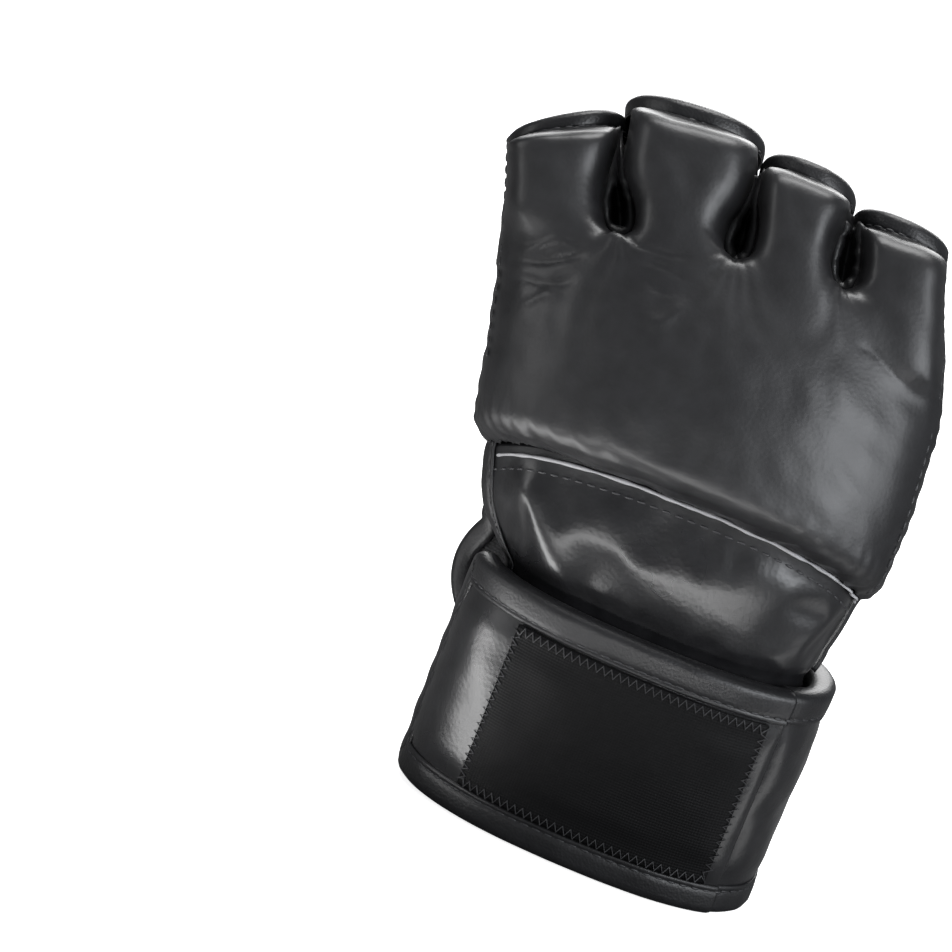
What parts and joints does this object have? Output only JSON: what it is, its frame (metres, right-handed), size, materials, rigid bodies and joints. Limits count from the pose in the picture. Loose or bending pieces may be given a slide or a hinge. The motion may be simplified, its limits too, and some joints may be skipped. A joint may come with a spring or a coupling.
{
  "type": "mma glove",
  "caption": "Open-finger grappling glove for the right hand: padded back and fingers, open palm, thumb opening and a wrist cuff with a hook-and-loop strap.",
  "frame": {"origin": "centre of the cuff's wrist hollow, in the plane of the cuff's lower rim", "axes": "+Z from the wrist to the fingers, +Y out of the palm, +X towards the little finger"},
  "size_m": [0.1359, 0.0753, 0.1891],
  "materials": {
    "pad_leather": "satin",
    "leather": "gloss",
    "binding_tape": "satin",
    "knit_lining": "matte",
    "foam": "matte",
    "loop_pile": "matte",
    "hook_pile": "matte",
    "label_cloth": "matte",
    "webbing": "matte"
  },
  "bodies": {
    "hand": {"back_lining": "knit_lining", "wrist_panel": "leather", "back_foam": "foam", "back_cover": "pad_leather", "pad_piping": "leather", "palm_lining": "knit_lining", "palm_panel": "leather", "palm_hole_tape": "binding_tape", "thumb_hole_tape": "binding_tape", "thumb_seam": "leather", "little_seam": "leather", "wrist_stay": "webbing", "band_lining": "knit_lining", "band_foam": "foam", "band_leather": "leather", "band_tape": "binding_tape", "loop_patch": "loop_pile"},
    "strap": {"strap_lining": "knit_lining", "strap_foam": "foam", "strap_leather": "leather", "strap_tape": "binding_tape", "hook_patch": "hook_pile", "label_patch": "label_cloth"},
    "fingers": {"index_lining": "knit_lining", "middle_lining": "knit_lining", "ring_lining": "knit_lining", "little_lining": "knit_lining", "index_foam": "foam", "middle_foam": "foam", "ring_foam": "foam", "little_foam": "foam", "index_cover": "pad_leather", "middle_cover": "pad_leather", "ring_cover": "pad_leather", "little_cover": "pad_leather", "index_sleeve": "leather", "middle_sleeve": "leather", "ring_sleeve": "leather", "little_sleeve": "leather", "index_tape": "binding_tape", "middle_tape": "binding_tape", "ring_tape": "binding_tape", "little_tape": "binding_tape"}
  },
  "joints": [
    {"name": "strap_root", "type": "hinge", "parent": "hand", "child": "strap", "pos_m": [0.04116, -0.02083, 0.032], "axis": [0, 0, 1], "range_deg": [0, 120]},
    {"name": "knuckle_bend", "type": "hinge", "parent": "hand", "child": "fingers", "pos_m": [-0.0138, 0.03101, 0.14271], "axis": [-1, 0, 0], "range_deg": [0, 30], "stiffness_Nm_per_rad": 0.4}
  ]
}
